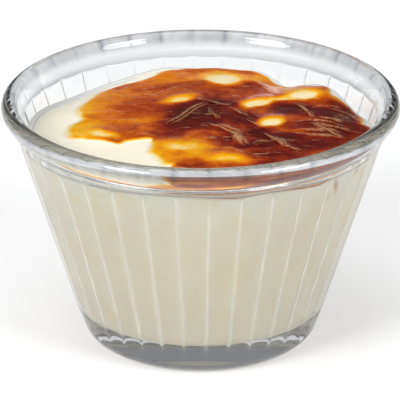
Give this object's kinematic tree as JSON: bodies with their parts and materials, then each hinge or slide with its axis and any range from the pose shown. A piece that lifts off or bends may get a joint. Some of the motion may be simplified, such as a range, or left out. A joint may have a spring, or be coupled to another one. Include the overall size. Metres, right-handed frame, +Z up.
{
  "type": "creme brulee ramekin",
  "caption": "Clear pressed-glass ramekin with a panelled tapered wall, round lip and thick foot, filled with baked custard under a wrinkled browned skin.",
  "frame": {"origin": "on the axis, at the resting plane under the foot", "axes": "+Z up along the axis, -Y towards the front in the picture, +X to its right"},
  "size_m": [0.088, 0.088, 0.056],
  "materials": {
    "clear_glass": "fire-polished clear pressed glass",
    "baked_custard": "soft, moist and slightly translucent",
    "browned_skin": "thin wrinkled skin, glossy where browned, cream where pale"
  },
  "bodies": {
    "root": {"glass_ramekin": "clear_glass", "custard": "baked_custard", "browned_skin": "browned_skin"}
  },
  "joints": []
}
